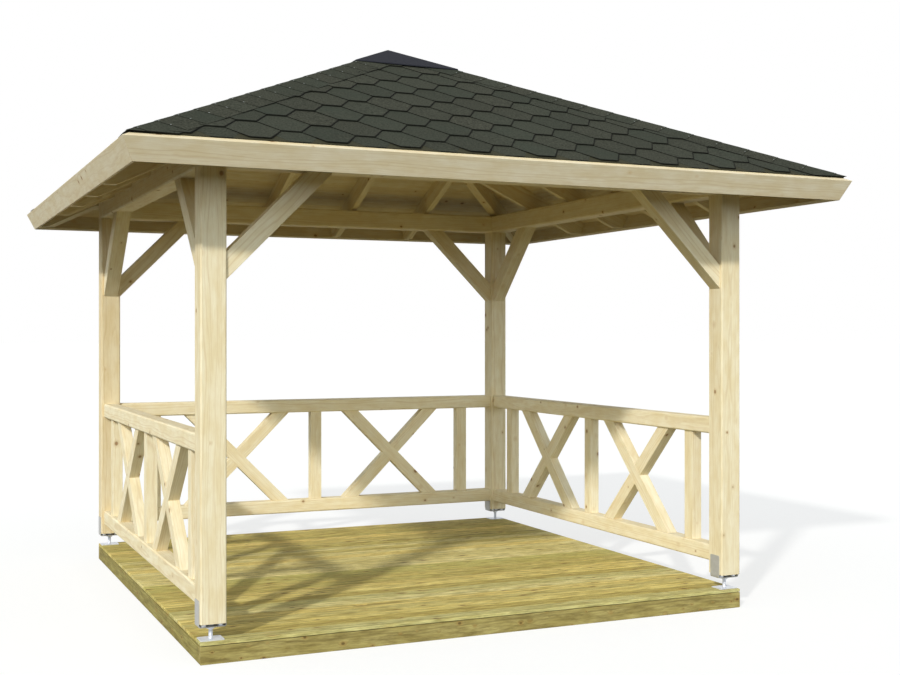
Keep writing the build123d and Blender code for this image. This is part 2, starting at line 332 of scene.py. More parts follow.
def read_solids(node):
    """The separate solids of a CAD node, each as (vertices, faces), with flat faces joined up."""
    shape = bmesh.new()
    shape.from_mesh(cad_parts[node].data)
    bmesh.ops.remove_doubles(shape, verts=shape.verts, dist=SAME_POINT)
    bmesh.ops.dissolve_limit(shape, angle_limit=SAME_PLANE, verts=shape.verts, edges=shape.edges)
    shape.verts.ensure_lookup_table()
    solids = []
    seen = set()
    for start in shape.verts:
        if start.index in seen or not start.link_faces:
            continue
        group, front = [], [start]
        seen.add(start.index)
        while front:
            vertex = front.pop()
            group.append(vertex)
            for edge in vertex.link_edges:
                other = edge.other_vert(vertex)
                if other.index not in seen:
                    seen.add(other.index)
                    front.append(other)
        order = {vertex.index: i for i, vertex in enumerate(group)}
        faces = {face.index: [order[v.index] for v in face.verts]
                 for vertex in group for face in vertex.link_faces}
        solids.append((np.array([v.co[:] for v in group]), list(faces.values())))
    shape.free()
    return solids


def grain_axes(vertices, faces):
    """Three axes of a timber: along the fibres, then the width and the depth."""
    longest, along = 0.0, None
    for face in faces:
        for a, b in zip(face, face[1:] + face[:1]):
            edge = vertices[b] - vertices[a]
            length = np.linalg.norm(edge)
            if length > longest + LONGER:
                longest, along = length, edge / length
    width = np.cross(along, (0, 0, 1) if abs(along[2]) < 0.9 else (0, 1, 0))
    width /= np.linalg.norm(width)
    return np.array([along, width, np.cross(along, width)])


print("posts have", len(read_solids("post_front_left")[0][1]), "flat faces")

# %% [markdown]
# The timbers of one node become one piece. Every timber draws its own lot, so that no two show
# the same stripes and knots, and its tone is kept within a range set for each group of timbers.
# The slender railing timbers get paler tones than the posts and beams, the eave boards greyer
# ones, and one post warmer ones.

# %% Spruce timbers
PLANED_EDGE = 1.6 * MM


def timbers(name, nodes, material, radius=PLANED_EDGE, tones=(0.0, 1.0)):
    """One piece for the timbers of some CAD nodes, each with its own grain and a tone within tones."""
    vertices, faces, grain, lots = [], [], [], []
    for node in nodes:
        for points, polygons in read_solids(node):
            axes = grain_axes(points, polygons)
            lot = [chance.uniform(*tones), chance.random(), chance.random()]
            faces += [[len(vertices) + i for i in polygon] for polygon in polygons]
            vertices += list(points)
            grain += list((points - points.mean(axis=0)) @ axes.T)
            lots += [lot] * len(points)
    piece = make_piece(name, vertices, faces, [material], nodes, {"grain": grain, "lot": lots})
    soften(piece, radius)
    return piece


frame_nodes = ["post_front_left", "post_front_right", "post_back_right",
               "beam_front", "beam_back", "beam_left", "beam_right",
               "braces_front", "braces_back", "braces_left", "braces_right", "hip_rafters", "apex_block"]
eave_nodes = ["fascia_front", "fascia_back", "fascia_left", "fascia_right"]
rafter_nodes = ["rafters_front", "rafters_back", "rafters_left", "rafters_right"]
warm_nodes = ["post_back_left"]
railing_nodes = [side + "_" + kind for side in ("back", "left", "right")
                 for kind in ("rails", "uprights", "diagonals", "half_diagonals")]
timber_groups = [(frame_nodes, (0.2, 0.5)), (eave_nodes, (0.55, 0.65)), (rafter_nodes, (0.2, 0.5)),
                 (warm_nodes, (0.8, 1.0)), (railing_nodes, (0.0, 0.15))]
for group, tones in timber_groups:
    for node in group:
        timbers("spruce_" + node, [node], spruce, tones=tones)
print("spruce pieces:", sum(len(group) for group, tones in timber_groups))

# %% [markdown]
# ## The deck
#
# The deck is boarded with pressure-treated pine: the salts leave a greenish tone that takes
# differently in every board. The CAD has one slab for all the boards, so here it becomes
# single boards with a fine joint between them and softened edges. The wood is the same
# function as the spruce with other colours, closer rings, many small knots and dark streaks.

# %% Treated pine
TREATED_TONES = [(0.0, "DCE0D4"), (0.2, "FFFFFF"), (0.4, "DAD5B2"), (0.6, "FFF6DA"), (0.8, "E0E4C2"),
                 (1.0, "D3CAA4")]


def treated_pine(name, pale, mid, dark, knot_radius=9.5 * MM, knot_spacing=58 * MM, knot_length=2.4):
    """Pressure-treated pine, which takes the salts differently in every batch."""
    return softwood(name, pale, mid, dark, knot="5A4827", halo_tone="A27C40",
                    knot_radius=knot_radius, knot_spacing=knot_spacing, knot_length=knot_length,
                    roughness=0.76, rings_per_metre=170.0, wander_width=0.02, contrast=0.7,
                    streakiness=0.75, tone_ramp=TREATED_TONES)


treated_boards = treated_pine("treated pine, boards", "FFF3B2", "F3E298", "8B7C43")
treated_side_rims = treated_pine("treated pine, side rims", "BDB17C", "A99A62", "716135")
treated_long_rims = treated_pine("treated pine, long rims", "C6B987", "B0A26D", "756640",
                                 knot_radius=8 * MM, knot_spacing=44 * MM, knot_length=1.5)
print("made", treated_boards.name, "and two for the rims")

# %% [markdown]
# The boards are plain boxes that fill the slab's own outline, each with a lot of its own. They
# start a few millimetres above the rims, which leaves the thin shadow line that loose boards show.

# %% Deck boards
BOARD_COUNT = 30
BOARD_JOINT = 1.2 * MM
SHADOW_GAP = 3 * MM        # the thin dark line between the boards and the rims below
FRONT_BOARD_TONE = 0.02    # the board along the entrance is one of the pale greenish ones
BOARD_EDGE = 2.2 * MM
RIM_EDGE = 1.5 * MM


def boxes(name, corners, tones, material, nodes, radius):
    """One piece made of boxes that run along X, each with its own grain. corners holds (low, high)."""
    vertices, faces, grain, lots = [], [], [], []
    for (low, high), tone in zip(corners, tones):
        lot = [tone, chance.random(), chance.random()]
        base = len(vertices)
        points = [(x, y, z) for x in (low[0], high[0])
                  for y in (low[1], high[1]) for z in (low[2], high[2])]
        middle = (np.array(low) + np.array(high)) / 2
        vertices += points
        grain += [tuple(np.array(point) - middle) for point in points]
        lots += [lot] * 8
        quads = [(0, 1, 3, 2), (4, 6, 7, 5), (0, 4, 5, 1), (2, 3, 7, 6), (0, 2, 6, 4), (1, 5, 7, 3)]
        faces += [[base + i for i in quad] for quad in quads]
    piece = make_piece(name, vertices, faces, [material], nodes, {"grain": grain, "lot": lots})
    soften(piece, radius)
    return piece


low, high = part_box("deck_boards")
pitch = (high[1] - low[1]) / BOARD_COUNT
board_corners = []
for index in range(BOARD_COUNT):
    start = low[1] + index * pitch
    near = start + (BOARD_JOINT / 2 if index else 0)
    far = start + pitch - (BOARD_JOINT / 2 if index < BOARD_COUNT - 1 else 0)
    board_corners.append(((low[0], near, low[2] + SHADOW_GAP), (high[0], far, high[2])))
tones = [FRONT_BOARD_TONE] + [chance.random() for _ in board_corners[1:]]
boxes("deck_board_layer", board_corners, tones, treated_boards, ["deck_boards"],
      BOARD_EDGE)
timbers("deck_rims", ["deck_long_rims"], treated_long_rims, RIM_EDGE, (0.62, 0.72))
timbers("deck_side_rims_and_joists", ["deck_joists"], treated_side_rims, RIM_EDGE,
        (0.7, 0.9))
print("deck boards", BOARD_COUNT, "each", round(pitch / MM, 1), "mm wide")

# %% [markdown]
# ## Coordinates on a roof slope
#
# Everything on the roof is laid out on one of four equal slopes, so it helps to work in the
# slope's own directions: how far along the eave, how far up the slope from the fascia's outer
# edge, and how deep below the fascia's upper edge. Where two slopes meet, a piece is mitred.

# %% Slope helper
PITCH = math.radians(25)
FASCIA_THICKNESS = 28 * MM
eave_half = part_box("fascia_right")[1][0]
eave_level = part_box("fascia_right")[1][2] - FASCIA_THICKNESS * math.sin(PITCH)
OUTWARD = {"front": (0, -1), "right": (1, 0), "back": (0, 1), "left": (-1, 0)}


def half_width(up, depth):
    """How far from the middle of the slope its mitre lies, at that place on the slope."""
    return eave_half - up * math.cos(PITCH) - depth * math.sin(PITCH)


def on_slope(side, along, up, depth):
    """A point of a slope in the shared frame. along is stretched, which keeps a mitre at any depth."""
    out_x, out_y = OUTWARD[side]
    out = half_width(up, depth)
    along *= out / half_width(up, 0)
    level = eave_level + up * math.sin(PITCH) - depth * math.cos(PITCH)
    return (out_x * out - out_y * along, out_y * out + out_x * along, level)


print("roof half", round(eave_half / MM), "mm, eave at", round(eave_level / MM), "mm")

# %% [markdown]
# ## Roof boarding
#
# From below, the roof shows tongued and grooved boards laid across the rafters, with a small
# V at each joint. Each board is a long prism whose ends follow the mitre at the hips.

# %% Boarding
BOARD_FACE = 96 * MM
BOARD_THICKNESS = 18 * MM
BOARD_VEE = 3 * MM


def boarding(side):
    """The boards of one slope, from the fascia up to near the peak, as one piece."""
    vertices, faces, grain, lots = [], [], [], []
    start = FASCIA_THICKNESS
    top_of_slope = eave_half / math.cos(PITCH)
    while start < top_of_slope - 2 * BOARD_FACE:
        end = start + BOARD_FACE
        lot = [chance.random() for _ in range(3)]
        profile = [
            (start, 0), (end, 0), (end, BOARD_THICKNESS - BOARD_VEE),
            (end - BOARD_VEE, BOARD_THICKNESS), (start + BOARD_VEE, BOARD_THICKNESS),
            (start, BOARD_THICKNESS - BOARD_VEE),
        ]
        base, count = len(vertices), len(profile)
        for sign in (-1, 1):
            for up, depth in profile:
                reach = half_width(up, 0)
                vertices.append(on_slope(side, sign * reach, up, depth))
                grain.append((sign * reach, up - (start + end) / 2, depth))
                lots.append(lot)
        for i in range(count):
            j = (i + 1) % count
            faces.append([base + i, base + j, base + count + j, base + count + i])
        faces.append([base + i for i in range(count)][::-1])
        faces.append([base + count + i for i in range(count)])
        start = end
    node = "roof_boards_" + side
    make_piece("boarding_" + side, vertices, faces, [spruce], [node],
               {"grain": grain, "lot": lots})
    return len(vertices) // (2 * count)


for side in OUTWARD:
    print(side, "slope:", boarding(side), "boards")

# %% [markdown]
# ## Shingles
#
# Bitumen felt shingles come as strips cut into tabs. Laid with each course shifted by half a
# tab, they read as hexagons. The face is crushed slate, dull and speckled; the cut edge is
# black bitumen. A narrow dark rim along it, partly felt where the granules come off and partly
# painted shade, draws with the edge the dark outline of every tab. Each tab is its own thin plate
# here, resting on the course below, so the edges cast real shadows, and the rim adds painted
# shadow to them. An image of shingles would lie flat and would give itself away at the eave,
# where the eye sees the plates edge on.

# %% Shingle sizes and the slate face
TAB_PITCH = 343 * MM
TAB_FLAT = 95 * MM
EXPOSURE = 127.3 * MM
TAB_SPREAD = (TAB_PITCH / 2 - TAB_FLAT) / EXPOSURE   # how fast half a tab widens on its way up
# Width of the dark rim along the cut edges: worn felt and painted shade
WORN_AND_SHADED_RIM = 7 * MM
BARE_AND_SHADED_RIM = 1 * MM        # the outermost part of the rim, darkest: felt that has lost its granules, and painted shade
GRANULE_DEPTH = 0.8 * MM


def slate_granules(name, low_tone, high_tone, green_tone):
    """Crushed slate on bitumen felt: fully matt, speckled, a slightly different batch in each tab.
    The rim attribute holds how far a point is from the left, right and lower edge of its tab, for the
    dark rim of worn felt and painted shade."""
    material, tree, out = new_material(name)
    grain = add(tree, "ShaderNodeAttribute", attribute_name="grain").outputs["Vector"]
    lot = add(tree, "ShaderNodeAttribute", attribute_name="lot").outputs["Vector"]
    lots = add(tree, "ShaderNodeSeparateXYZ", {0: lot})
    place = add(tree, "ShaderNodeVectorMath", {0: lot, 1: (3.0, 3.0, 3.0), 2: grain},
                operation="MULTIPLY_ADD").outputs[0]
    # Granules are 1 mm; they are drawn about 9 mm wide so that the speckle shows
    speckle = add(tree, "ShaderNodeTexNoise",
                  {"Vector": place, "Scale": 110.0, "Detail": 2.0, "Roughness": 0.7}).outputs[0]
    cloud = add(tree, "ShaderNodeTexNoise", {"Vector": place, "Scale": 9.0, "Detail": 2.0}).outputs[0]
    contrast = add(tree, "ShaderNodeMapRange", {0: speckle, 1: 0.32, 2: 0.68}).outputs[0]
    greys = add(tree, "ShaderNodeMix", {0: contrast, 6: linear(low_tone), 7: linear(high_tone)},
                data_type="RGBA").outputs[2]
    green_part = add(tree, "ShaderNodeMath", {0: lots.outputs[0], 1: cloud},
                     operation="MULTIPLY").outputs[0]
    greened = add(tree, "ShaderNodeMix", {0: green_part, 6: greys, 7: linear(green_tone)},
                  data_type="RGBA").outputs[2]
    batch = add(tree, "ShaderNodeMapRange", {0: lots.outputs[1], 3: 0.91, 4: 1.06}).outputs[0]
    # A dark rim along the cut edges: partly felt where the granules have come off, partly painted shade
    # of the edge and its shadow
    rim = add(tree, "ShaderNodeSeparateXYZ",
              {0: add(tree, "ShaderNodeAttribute", attribute_name="rim").outputs["Vector"]})
    from_side = add(tree, "ShaderNodeMath", {0: rim.outputs[0], 1: rim.outputs[1]},
                    operation="MINIMUM").outputs[0]
    from_edge = add(tree, "ShaderNodeMath", {0: from_side, 1: rim.outputs[2]},
                    operation="MINIMUM").outputs[0]
    # Darkens the colour towards the cut edges: worn felt and painted shade
    worn_and_shaded = add(tree, "ShaderNodeMapRange",
                 {0: from_edge, 1: BARE_AND_SHADED_RIM, 2: WORN_AND_SHADED_RIM, 3: 0.12, 4: 1.0}).outputs[0]
    strength = add(tree, "ShaderNodeMath", {0: batch, 1: worn_and_shaded}, operation="MULTIPLY").outputs[0]
    colour = add(tree, "ShaderNodeVectorMath", {0: greened, 3: strength}, operation="SCALE").outputs[0]
    bump = add(tree, "ShaderNodeBump",
               {"Strength": 0.5, "Distance": GRANULE_DEPTH, "Height": speckle}).outputs[0]
    # The rough granules trap most of the gloss
    surface = add(tree, "ShaderNodeBsdfPrincipled", {
        "Base Color": colour, "Roughness": 0.92, "IOR": 1.5, "Specular IOR Level": 0.05, "Normal": bump})
    tree.links.new(surface.outputs[0], out.inputs[0])
    return material


slate = slate_granules("slate granules", low_tone="262721", high_tone="4B4C42", green_tone="363C34")
print("made", slate.name, "for tabs", round(TAB_PITCH / MM), "mm apart")

# %% [markdown]
# The cut bitumen, the felt strip at the eave, and later the steel parts, are small or lie in the
# shade. One function with a single colour serves them all. A faint cloud of wear runs through it,
# since a perfectly even colour looks unreal. How metallic and how glossy it is comes with each.

# %% Plain surfaces
def plain_surface(name, colour, roughness, metallic=0.0, gloss=0.5):
    """A material of one colour with faint cloudy wear."""
    material, tree, out = new_material(name)
    place = add(tree, "ShaderNodeTexCoord").outputs["Object"]
    cloud = add(tree, "ShaderNodeTexNoise", {"Vector": place, "Scale": 60.0, "Detail": 3.0}).outputs[0]
    worn = add(tree, "ShaderNodeMapRange", {0: cloud, 3: 0.85, 4: 1.12}).outputs[0]
    base = add(tree, "ShaderNodeRGB")
    base.outputs[0].default_value = linear(colour)
    tinted = add(tree, "ShaderNodeVectorMath", {0: base.outputs[0], 3: worn},
                 operation="SCALE").outputs[0]
    surface = add(tree, "ShaderNodeBsdfPrincipled", {
        "Base Color": tinted, "Roughness": roughness, "Metallic": metallic, "Specular IOR Level": gloss})
    tree.links.new(surface.outputs[0], out.inputs[0])
    return material


bitumen = plain_surface("cut bitumen edge", "1A1B16", 0.8, gloss=0.1)
underlay = plain_surface("eave strip", "383729", 0.85, gloss=0.1)
print("made", bitumen.name, "and", underlay.name)

# %% [markdown]
# Every plate is drawn flat on its slope, cut where the slope ends, and only then given its
# thickness. A Boolean tool on hundreds of thin plates would leave slivers; cutting a flat
# outline by straight lines is exact.

# %% Thin plates on a slope
FASCIA_CLEAR = 1 * MM    # how far plates keep off the inner edge of the fascia


def clip(polygon, keep):
    """The part of a flat convex polygon where keep(x, y) is positive. keep must be linear."""
    result = []
    for (ax, ay), (bx, by) in zip(polygon, polygon[1:] + polygon[:1]):
        a, b = keep(ax, ay), keep(bx, by)
        if a >= 0:
            result.append((ax, ay))
        if (a < 0 <= b) or (b < 0 <= a):
            t = a / (a - b)
            result.append((ax + t * (bx - ax), ay + t * (by - ay)))
    return result


def no_plates():
    """Empty lists for the vertices, faces, grain, rims, lots and kinds of a piece made of plates."""
    return ([], [], [], [], [], [])


def add_plate(data, side, polygon, depth_at, thickness, lot, spot_at):
    """Adds a thin plate that lies on a slope to the lists in data, unless it was all clipped away.
    spot_at gives a point's place on the plate and its distances from the left, right and lower edge.
    The kind of a face is 0 for the face that shows and 1 for the rest."""
    if len(polygon) < 3:
        return
    vertices, faces, grain, rims, lots, kinds = data
    base, count = len(vertices), len(polygon)
    for extra in (0, thickness):
        for along, up in polygon:
            vertices.append(on_slope(side, along, up, depth_at(along, up) + extra))
            x, y, *edges = spot_at(along, up)
            grain.append((x, y, 0))
            rims.append(edges)
            lots.append(lot)
    faces.append([base + i for i in range(count)])
    faces.append([base + count + i for i in range(count)][::-1])
    kinds += [0, 1] + [1] * count
    for i in range(count):
        j = (i + 1) % count
        faces.append([base + i, base + count + i, base + count + j, base + j])


def within_slope(polygon):
    """The part of a polygon on a slope that lies between its two hips and above the fascia."""
    polygon = clip(polygon, lambda x, y: eave_half - y * math.cos(PITCH) - x)
    polygon = clip(polygon, lambda x, y: eave_half - y * math.cos(PITCH) + x)
    return clip(polygon, lambda x, y: y - FASCIA_THICKNESS - FASCIA_CLEAR)


print("the mitres at the eave are", round(2 * half_width(0, 0) / MM), "mm apart")

# %% [markdown]
# A tab hangs from the strip of its course. It starts with a short flat and widens upwards as its
# neighbours narrow, so that the free parts of two courses together make hexagons.

# %% Outlines of a tab
TAB_SHIFT = 83 * MM          # how far the tabs of the first course lie off the middle
TABS_ASIDE = 7               # tabs to each side of the middle, enough for the eave


def tab_outline(x, low):
    """A tab hanging from a course: a short flat, widening upwards as its neighbours narrow."""
    high = low + EXPOSURE
    wide = TAB_PITCH - TAB_FLAT
    return [(x - TAB_FLAT / 2, low), (x + TAB_FLAT / 2, low), (x + wide / 2, high), (x - wide / 2, high)]


def band_outline(x, near, far):
    """The part of the strip above a tab, which the next course covers but for its slots."""
    half = TAB_PITCH / 2
    return [(x - half, near), (x + half, near), (x + half, far), (x - half, far)]


def course_middles(course):
    """Where the tabs of a course have their middles. Every second course is half a tab to one side."""
    shift = TAB_SHIFT - (TAB_PITCH / 2 if course % 2 else 0)
    return [shift + index * TAB_PITCH for index in range(-TABS_ASIDE, TABS_ASIDE + 1)]


print("a tab is", round((TAB_PITCH - TAB_FLAT) / MM), "mm wide at its top and shows",
      round(EXPOSURE / MM), "mm")

# %% [markdown]
# The first course cannot rest on bare boards. A felt strip runs along the eave, and a starter
# course lies on it with its tabs in the slots of the first course, so that no gap shows wood.
# Every later course covers the band above the tabs of the one before.

# %% Shingle courses
FIRST_COURSE = 53 * MM
STARTER_EDGE = 36 * MM
UNDERLAY = 4.6 * MM          # the eave strip and the felt under it
COURSE_LAP = 26 * MM
TAB_THICKNESS = 3.6 * MM
TAB_FALL = TAB_THICKNESS / EXPOSURE   # so that a tab rests on the one below
TAB_LIFT = TAB_THICKNESS + TAB_FALL * (2 * EXPOSURE + COURSE_LAP)
STARTER_LIFT = 5.2 * MM
STRIP_INSET = 1 * MM         # the eave strip starts this far inside the starter course
UNDER_CAP = 250 * MM         # how far down the slope from the peak the last course may start
NO_EDGE = 1.0                # a distance far beyond any dark rim
# Added to the distances from the slanted edges: the dark rim is narrow on the sunlit left edges and wide
# on the right edges, where the extra width is painted shadow
LIT_SIDE_RIM, SHADED_SIDE_RIM = 3 * MM, -2 * MM


def lay_course(side, data, course, low, far, depth_at, spared=0.0):
    """One course of tabs with their band, from its lower edge at low up to far. spared is added to the
    distances from the slanted edges, to leave them without the dark rim of worn felt and painted shade."""
    for x in course_middles(course):
        lot = [chance.random() for _ in range(3)]

        def spot_at(along, up):
            aside, above = along - x, up - low
            half_tab = TAB_FLAT / 2 + above * TAB_SPREAD + spared
            # The wider rim at the right edge is painted shadow; the rest of the rim is worn felt and
            # painted shade
            return (aside, above, half_tab + aside + LIT_SIDE_RIM, half_tab - aside + SHADED_SIDE_RIM, above)

        for outline in (tab_outline(x, low), band_outline(x, low + EXPOSURE, far)):
            add_plate(data, side, within_slope(outline), depth_at, TAB_THICKNESS, lot, spot_at)


def shingle_slope(side, data):
    """The starter course close to the eave, and then the courses that rest on one another."""
    lay_course(side, data, -1, STARTER_EDGE, FIRST_COURSE + EXPOSURE + COURSE_LAP,
               lambda along, up: -STARTER_LIFT, spared=NO_EDGE)
    course = 0
    while FIRST_COURSE + course * EXPOSURE < eave_half / math.cos(PITCH) - UNDER_CAP:
        low = FIRST_COURSE + course * EXPOSURE
        lay_course(side, data, course, low, low + 2 * EXPOSURE + COURSE_LAP,
                   lambda along, up: TAB_FALL * (up - low) - TAB_LIFT)
        course += 1


def underlay_slope(side):
    """The strip of felt that lies on the boards along the eave and shows below the first tabs."""
    far = FIRST_COURSE + EXPOSURE
    data = no_plates()
    edge = STARTER_EDGE + STRIP_INSET
    outline = within_slope([(-eave_half, edge), (eave_half, edge), (eave_half, far), (-eave_half, far)])
    add_plate(data, side, outline, lambda along, up: -UNDERLAY, UNDERLAY, [0, 0, 0],
              lambda along, up: (along, up, NO_EDGE, NO_EDGE, NO_EDGE))
    return data[0], data[1]


shingle_data = no_plates()
for side in OUTWARD:
    shingle_slope(side, shingle_data)
vertices, faces, grain, rims, lots, kinds = shingle_data
make_piece("shingle_tabs", vertices, faces, [slate, bitumen], ["roof_shingles"],
           {"grain": grain, "lot": lots, "rim": rims}, kinds)
vertices, faces = join_shapes([underlay_slope(side) for side in OUTWARD])
make_piece("eave_underlay", vertices, faces, [underlay])
print("shingle plates:", len([k for k in kinds if k == 0]))

# %% [markdown]
# ## Hip pieces and their nails
#
# The hips are closed with single felt pieces folded over the edge. Each overlaps the one
# below, its lower edge square to the hip, and is held by two broad-headed nails a side.

# %% Hip pieces
HIP_HALF = 156 * MM
HIP_EXPOSURE = 157.3 * MM
HIP_LAP = 60 * MM
HIP_FIRST = 70 * MM
HIP_THICKNESS = 1.8 * MM
HIP_LIFT = 14.8 * MM      # from the boards to the upper face of a hip piece, over the tabs
HIP_DROOP = 3.4 * MM      # the felt bends down at its outer edge, onto the tabs
NAIL_OFFS = (11 * MM, 69 * MM)   # the two nails of a side, measured square to the hip
NAIL_UP = 8 * MM
NAIL_CLEAR = 12 * MM             # no nail sits closer to the fascia than this
NAIL_SUNK = 0.3 * MM
HIP_UNDER_CAP = 360 * MM
HIP_SIDE_RIM = 1.5 * MM          # added to the distance from the outer edge, for a narrower rim
slant = math.hypot(1, math.cos(PITCH))   # length along the hip for each length up the slope


def hip_place(sign, run, off):
    """A point of a slope: run up along a hip from the eave, off square to it. sign says which hip."""
    up = run / slant - off * math.cos(PITCH) / slant
    along = eave_half - run / slant * math.cos(PITCH) - off / slant
    return (sign * along, up)


hip_data = no_plates()
nail_places = []
hip_length = eave_half / math.cos(PITCH) * slant
HIPS = (("left", "front"), ("front", "right"), ("right", "back"), ("back", "left"))
for left_side, right_side in HIPS:
    run = HIP_FIRST * slant - HIP_EXPOSURE
    while run < hip_length - HIP_UNDER_CAP:
        lot = [chance.random() for _ in range(3)]
        for side, sign in ((left_side, 1), (right_side, -1)):
            top = run + HIP_EXPOSURE + HIP_LAP
            corners = ((run, 0), (run, HIP_HALF), (top, HIP_HALF), (top, 0))
            outline = [hip_place(sign, *corner) for corner in corners]
            if sign > 0:
                outline.reverse()
            fall = HIP_THICKNESS / HIP_EXPOSURE

            def spot_at(along, up):
                inward = eave_half - abs(along)
                above = (up + inward * math.cos(PITCH)) / slant - run
                off = (inward - up * math.cos(PITCH)) / slant
                # The hip pieces carry the same dark rim of worn felt and painted shade, narrower at
                # their outer and lower edges
                return (off, above, NO_EDGE, HIP_HALF - off + HIP_SIDE_RIM, above + WORN_AND_SHADED_RIM / 2)

            def depth_at(along, up):
                off, above = spot_at(along, up)[:2]
                return fall * above + HIP_DROOP * off / HIP_HALF - HIP_LIFT

            add_plate(hip_data, side, within_slope(outline), depth_at, HIP_THICKNESS, lot, spot_at)
            for off in NAIL_OFFS:
                along, up = hip_place(sign, run + NAIL_UP, off)
                if up > FASCIA_THICKNESS + NAIL_CLEAR:
                    nail_places.append((side, along, up, depth_at(along, up) + NAIL_SUNK))
        run += HIP_EXPOSURE
vertices, faces, grain, rims, lots, kinds = hip_data
make_piece("hip_pieces", vertices, faces, [slate, bitumen], ["hip_shingles"],
           {"grain": grain, "lot": lots, "rim": rims}, kinds)
print("hip plates:", len([k for k in kinds if k == 0]), "nails:", len(nail_places))

# %% [markdown]
# A nail head is a low round button of zinc that has gone dull. A flat disc would lose its edge
# highlight, so each head has a bevelled rim.

# %% Nails on the hips
def round_profile(middle, axes, rings, sides):
    """A turned shape: rings holds (radius, height) from the bottom up, about the third of the axes."""
    vertices, faces = [], []
    x_axis, y_axis, z_axis = (Vector(a) for a in axes)
    for radius, height in rings:
        for i in range(sides):
            turn = 2 * math.pi * i / sides
            across = x_axis * radius * math.cos(turn) + y_axis * radius * math.sin(turn)
            vertices.append(tuple(Vector(middle) + (across + z_axis * height)))
    for level in range(len(rings) - 1):
        for i in range(sides):
            j = (i + 1) % sides
            a, b = level * sides, (level + 1) * sides
            faces.append([a + i, a + j, b + j, b + i])
    faces.append(list(range(sides))[::-1])
    faces.append([(len(rings) - 1) * sides + i for i in range(sides)])
    return vertices, faces


SHORT_STEP = 10 * MM   # a step on the slope, to find which way it lies
NAIL_HEAD = [(3.8 * MM, 0.0), (3.8 * MM, 0.6 * MM), (2.6 * MM, 1.2 * MM)]
shapes = []
for side, along, up, depth in nail_places:
    base = Vector(on_slope(side, along, up, depth))
    here = Vector(on_slope(side, along, up, 0))
    x_axis = (Vector(on_slope(side, along + SHORT_STEP, up, 0)) - here).normalized()
    y_axis = (Vector(on_slope(side, along, up + SHORT_STEP, 0)) - here).normalized()
    shapes.append(round_profile(base, (x_axis, y_axis, x_axis.cross(y_axis)), NAIL_HEAD, 10))
vertices, faces = join_shapes(shapes)
weathered = plain_surface("weathered zinc", "8B908D", 0.5, metallic=0.5)
make_piece("hip_nails", vertices, faces, [weathered])
print("nail heads:", len(shapes))

# %% [markdown]
# ## The cap
#
# Over the apex sits a folded cap of coated steel sheet. The CAD has its true outline, so only
# the finish and the softened folds are added: a dark blue-grey coating with hardly any gloss.

# %% Cap
FOLD_RADIUS = 2.5 * MM
coated = plain_surface("coil-coated steel", "2E2F35", 0.85, gloss=0.04)
vertices, faces = join_shapes(read_solids("roof_cap"))
piece = make_piece("cap_sheet", vertices, faces, [coated], ["roof_cap"])
soften(piece, FOLD_RADIUS, 3)
print("cap faces:", len(faces))

# %% [markdown]
# ## Post feet
#
# Each post stands in a U-shaped cradle of galvanised strip on a threaded rod and a base plate,
# so that its end grain stays dry. The strip is bent with a radius, never a sharp fold, which
# is what makes bent steel look like steel. Hot-dip zinc is pale and half matt, and mirrors its
# surroundings only in a blur. As it weathers, a crust of matt zinc salts hides part of the metal,
# so the metallic value lies between 0 and 1. The strip is drawn duller and darker than the plate
# and the rod, partly as weathered zinc and partly as painted shade and a painted dark reflection
# of the ground round it.

# %% Zinc on steel
galvanised = plain_surface("hot-dip galvanised steel", "DFE2EA", 0.35, metallic=0.5)
# The strip's darker, duller colour is partly weathered zinc and partly painted shade and dark reflection
darkened_zinc_strip = plain_surface("hot-dip galvanised strip, dull, painted darker for shade", "B4B3B0", 0.5, metallic=0.2)
print("made", galvanised.name, "and", darkened_zinc_strip.name)

# %% [markdown]
# The cradle is one strip bent twice. Its outline is drawn as two rows of points, the outside and
# the inside of the bends, and stretched over the depth of the strip.

# %% Cradle
FOOT_SHEET = 4 * MM
BEND_RADIUS = 9 * MM
CRADLE_DEPTH = 76 * MM
CORNER_CLIP = 5 * MM


def bar_along_y(outline, half_depth):
    """A solid with the given XZ outline, running along Y."""
    return prism([(x, -half_depth, z) for x, z in outline], [(x, half_depth, z) for x, z in outline])


def arc(centre, radius, start, end, steps):
    """Points on an arc, angles in degrees."""
    angles = [math.radians(start + (end - start) * i / steps) for i in range(steps + 1)]
    return [(centre[0] + radius * math.cos(a), centre[1] + radius * math.sin(a)) for a in angles]


def cradle(post_half, under, top):
    """The bent strip round the lower end of a post, with its cheeks clipped at the upper corners."""
    outer = post_half + FOOT_SHEET
    inner_radius = BEND_RADIUS - FOOT_SHEET
    centre_z = under + BEND_RADIUS
    bend_x = outer - BEND_RADIUS
    left, right = (-bend_x, centre_z), (bend_x, centre_z)
    outside = arc(left, BEND_RADIUS, 180, 270, 5) + arc(right, BEND_RADIUS, 270, 360, 5)
    inside = arc(right, inner_radius, 360, 270, 5) + arc(left, inner_radius, 270, 180, 5)
    half = CRADLE_DEPTH / 2
    shapes = [bar_along_y(outside + inside, half)]
    for sign in (-1, 1):
        side = [(-half, centre_z), (half, centre_z),
                (half, top - CORNER_CLIP), (half - CORNER_CLIP, top),
                (CORNER_CLIP - half, top), (-half, top - CORNER_CLIP)]
        vertices, faces = prism([(sign * post_half, y, z) for y, z in side],
                                [(sign * outer, y, z) for y, z in side])
        if sign < 0:
            faces = [polygon[::-1] for polygon in faces]
        shapes.append((vertices, faces))
    return shapes


print("cradle of", round(FOOT_SHEET / MM), "mm strip, bent round", round(BEND_RADIUS / MM), "mm")

# %% [markdown]
# The rod's thread is drawn as rings in place of a spiral: at this pitch the eye can't tell them
# apart, and rings close cleanly. Below the cradle sits one nut, and inside it another one with
# four thick washers, which keep the end grain off the strip.

